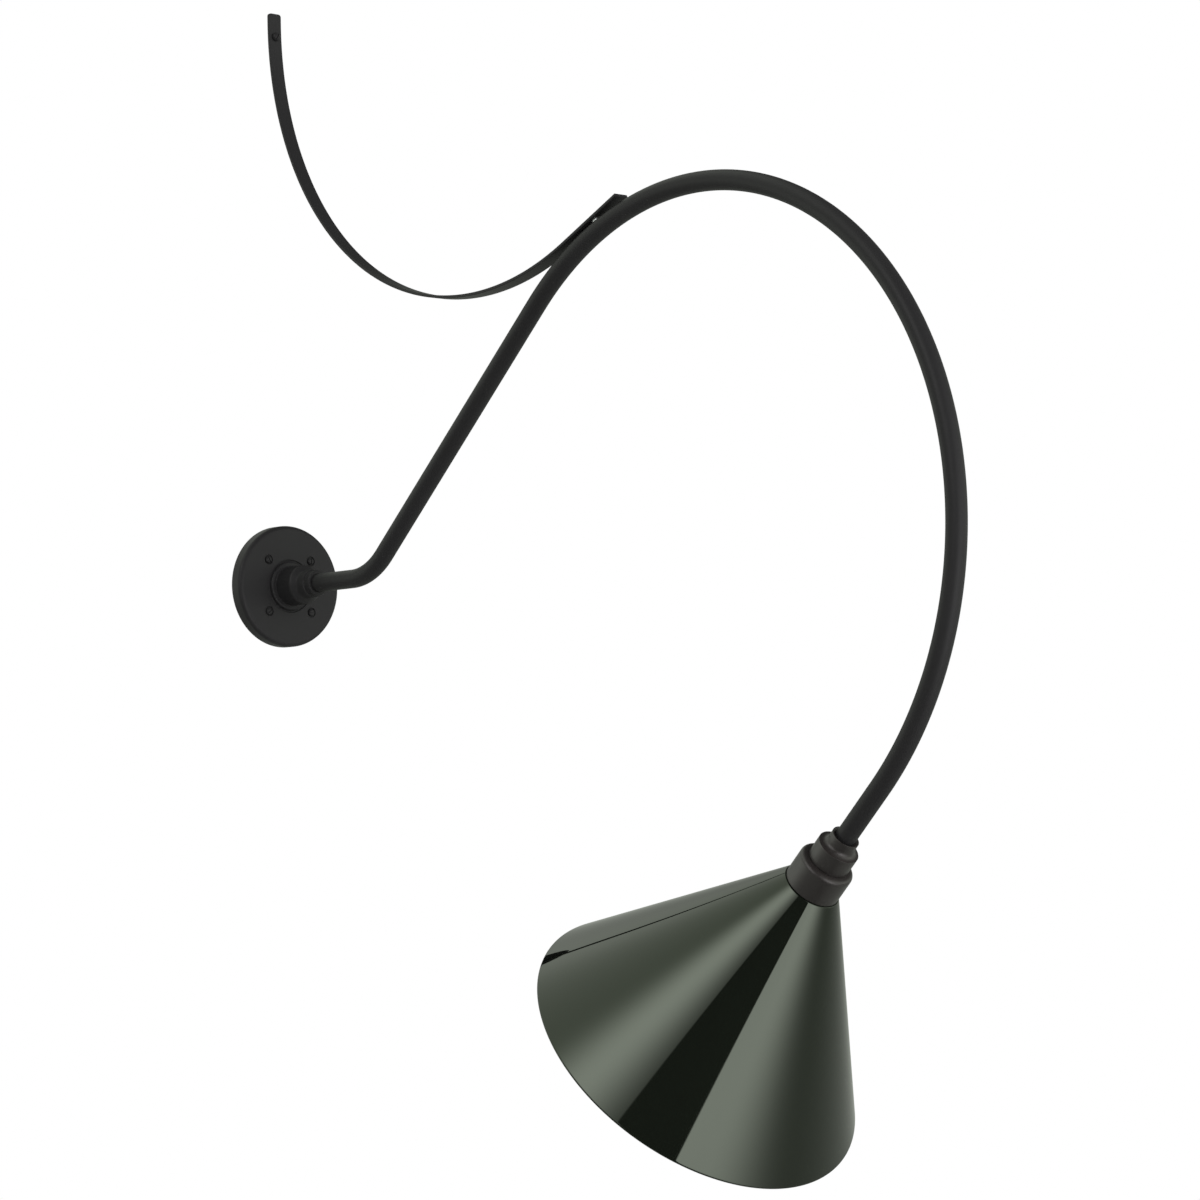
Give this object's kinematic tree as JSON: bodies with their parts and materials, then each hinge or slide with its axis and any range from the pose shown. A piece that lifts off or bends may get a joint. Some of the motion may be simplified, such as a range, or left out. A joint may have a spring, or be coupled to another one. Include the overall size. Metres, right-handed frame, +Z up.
{
  "type": "gooseneck wall sconce",
  "caption": "Gooseneck wall light: bent tube arm on a round canopy, flat strap stay to the wall, and a cone shade hung at a slant with a screw-in lamp.",
  "frame": {"origin": "middle of the wall canopy on the wall plane, which is the middle of the wall plate's two box-screw slots", "axes": "+X out of the wall, +Y along the wall, +Z up; the arm and stay lie in the plane Y = 0"},
  "size_m": [0.9786, 0.326, 1.1909],
  "materials": {
    "black_coat": "satin black powder coat",
    "neck_coat": "satin warm black coat",
    "green_enamel": "high-gloss dark green enamel",
    "zinc_steel": "zinc-plated steel",
    "green_screw": "green-dyed zinc plate",
    "green_insulation": "smooth insulation",
    "black_insulation": "smooth insulation",
    "white_insulation": "smooth insulation",
    "connector_plastic": "ribbed plastic",
    "porcelain": "glazed porcelain",
    "brass": "drawn brass",
    "lamp_solder": "solder",
    "lamp_insulator": "black vitrite glass",
    "lamp_cap": "nickel-plated",
    "lamp_glass": "clear glass",
    "stem_glass": "clear glass",
    "filament": "phosphor-coated filament"
  },
  "bodies": {
    "fixture": {"wall_canopy": "black_coat", "canopy_screws": "black_coat", "wall_plate": "zinc_steel", "ground_screws": "green_screw", "ground_lead": "green_insulation", "arm_hub": "black_coat", "hub_locknut": "zinc_steel", "hub_set_screw": "black_coat", "arm_tube": "black_coat", "stay_strap": "black_coat", "stay_arm_screw": "black_coat", "stay_rivet_nut": "zinc_steel", "stay_foot_screw": "black_coat", "neck_ring": "neck_coat", "tube_insert": "zinc_steel", "neck_cap": "neck_coat", "lampholder_cup": "neck_coat", "nipple": "zinc_steel", "nipple_locknut": "zinc_steel", "cone_shade": "green_enamel", "shade_screws": "zinc_steel", "lampholder_bracket": "zinc_steel", "bracket_screws": "zinc_steel", "lampholder_body": "porcelain", "screw_shell": "brass", "centre_contact": "brass", "terminal_screws": "brass", "live_wire": "black_insulation", "neutral_wire": "white_insulation", "wire_connectors": "connector_plastic"},
    "lamp_tip": {"lamp_tip_contact": "lamp_solder"},
    "lamp": {"lamp_insulator": "lamp_insulator", "lamp_cap": "lamp_cap", "lamp_globe": "lamp_glass", "lamp_stem": "stem_glass", "lamp_filaments": "filament"}
  },
  "joints": [
    {"name": "lamp_travel", "type": "slide", "parent": "fixture", "child": "lamp_tip", "axis": [-0.7193, 0, -0.6947], "range_m": [0, 0.01088]},
    {"name": "lamp_turn", "type": "hinge", "parent": "lamp_tip", "child": "lamp", "pos_m": [0.77968, 0, -0.32023], "axis": [-0.7193, 0, -0.6947], "range_deg": [0, 1080]}
  ],
  "couplings": [
    {"joint": "lamp_turn", "follows": "lamp_travel", "rad_per_m": 1731.4}
  ]
}
